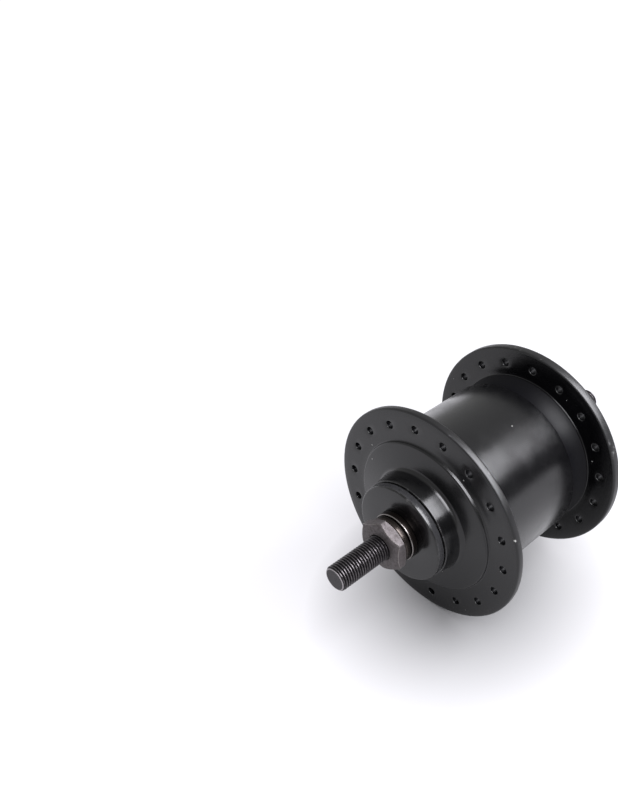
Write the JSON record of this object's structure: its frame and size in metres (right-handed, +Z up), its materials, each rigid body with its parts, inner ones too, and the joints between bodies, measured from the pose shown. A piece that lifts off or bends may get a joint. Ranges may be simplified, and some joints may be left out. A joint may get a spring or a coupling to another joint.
{
  "type": "hub dynamo",
  "caption": "Front wheel hub dynamo: black flanged shell turning on a fixed threaded axle, with a plug socket at one end and spoke holes in both flanges.",
  "frame": {"origin": "the middle of the hub: on the axle's axis, halfway between the outer faces of the locknuts", "axes": "+Y along the axle towards the end with the plug socket, +Z up, and the plug socket opens towards -X"},
  "size_m": [0.081, 0.14, 0.081],
  "materials": {
    "black_shell": "satin black paint over cast aluminium",
    "dust_cap_black": "satin black, pressed steel",
    "axle_steel": "dark oiled steel with a rolled thread",
    "browned_steel": "browned, turned steel",
    "nut_steel": "burnished steel, slightly browned",
    "race_steel": "ground and hardened steel",
    "ball_steel": "polished steel",
    "cage_brass": "pressed brass",
    "seal_rubber": "matt black rubber",
    "stator_iron": "stamped soft iron",
    "back_iron_grey": "rolled soft iron",
    "magnet_grey": "sintered ferrite",
    "copper_wire": "enamelled copper wire",
    "bobbin_plastic": "natural nylon",
    "winding_tape": "yellow polyester tape",
    "connector_plastic": "black glass-filled nylon",
    "contact_metal": "bright brass strip",
    "washer_zinc": "zinc-plated steel",
    "lead_insulation": "red enamelled lead"
  },
  "bodies": {
    "axle": {"axle": "axle_steel", "left_cone": "race_steel", "right_cone": "race_steel", "left_dust_cap": "dust_cap_black", "right_dust_cap": "dust_cap_black", "left_spacer": "browned_steel", "left_lock_washer": "browned_steel", "left_locknut": "nut_steel", "right_spacer": "browned_steel", "connector_housing": "connector_plastic", "contact_live": "contact_metal", "contact_earth": "contact_metal", "earth_washer": "washer_zinc", "right_locknut": "nut_steel", "lead_wire": "lead_insulation", "stator_core": "stator_iron", "left_claw": "stator_iron", "right_claw": "stator_iron", "bobbin": "bobbin_plastic", "winding": "copper_wire", "winding_tape": "winding_tape", "left_stator_nut": "race_steel", "right_stator_nut": "race_steel"},
    "shell": {"hub_shell": "black_shell", "right_flange_cap": "black_shell", "cap_o_ring": "seal_rubber", "left_cup": "race_steel", "right_cup": "race_steel", "left_seal": "seal_rubber", "right_seal": "seal_rubber", "back_iron": "back_iron_grey", "magnet_1": "magnet_grey", "magnet_2": "magnet_grey", "magnet_3": "magnet_grey", "magnet_4": "magnet_grey"},
    "left_ball_set": {"left_balls": "ball_steel", "left_cage": "cage_brass"},
    "right_ball_set": {"right_balls": "ball_steel", "right_cage": "cage_brass"}
  },
  "joints": [
    {"name": "shell_spin", "type": "hinge", "parent": "axle", "child": "shell", "pos_m": [0, 0, 0], "axis": [0, 1, 0], "continuous": true},
    {"name": "left_balls_spin", "type": "hinge", "parent": "axle", "child": "left_ball_set", "pos_m": [0, -0.0336, 0], "axis": [0, 1, 0], "continuous": true},
    {"name": "right_balls_spin", "type": "hinge", "parent": "axle", "child": "right_ball_set", "pos_m": [0, 0.0336, 0], "axis": [0, 1, 0], "continuous": true}
  ],
  "couplings": [
    {"joint": "left_balls_spin", "follows": "shell_spin", "ratio": 0.5886},
    {"joint": "right_balls_spin", "follows": "shell_spin", "ratio": 0.5886}
  ]
}
